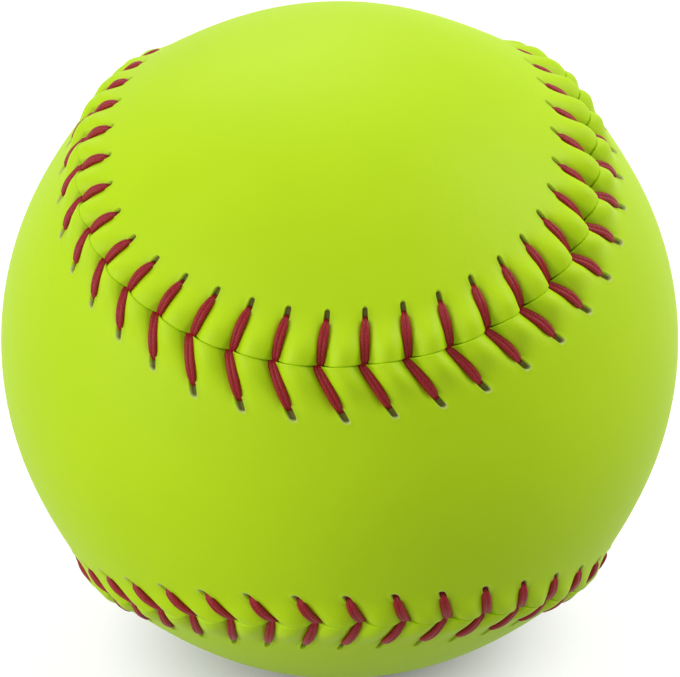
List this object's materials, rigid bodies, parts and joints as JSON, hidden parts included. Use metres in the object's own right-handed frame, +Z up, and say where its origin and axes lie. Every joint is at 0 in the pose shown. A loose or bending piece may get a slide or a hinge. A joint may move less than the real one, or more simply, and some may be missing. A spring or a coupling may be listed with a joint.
{
  "type": "softball",
  "caption": "Stitched softball: a moulded core, a cement film, figure-of-eight cover panels that interlock, and the waxed thread that laces their raised seam.",
  "frame": {"origin": "centre of the ball", "axes": "+Z up; the front panel has its narrow waist at -Y and its lobes at +X and -X, the back panel has its waist at +Y and its lobes at +Z and -Z"},
  "size_m": [0.0958, 0.0958, 0.0958],
  "materials": {
    "cover": "satin",
    "thread": "satin",
    "cement": "matte",
    "core": "matte"
  },
  "bodies": {
    "root": {"core": "core", "cement_film": "cement", "cover_panel_front": "cover", "cover_panel_back": "cover", "lacing_thread": "thread"}
  },
  "joints": []
}
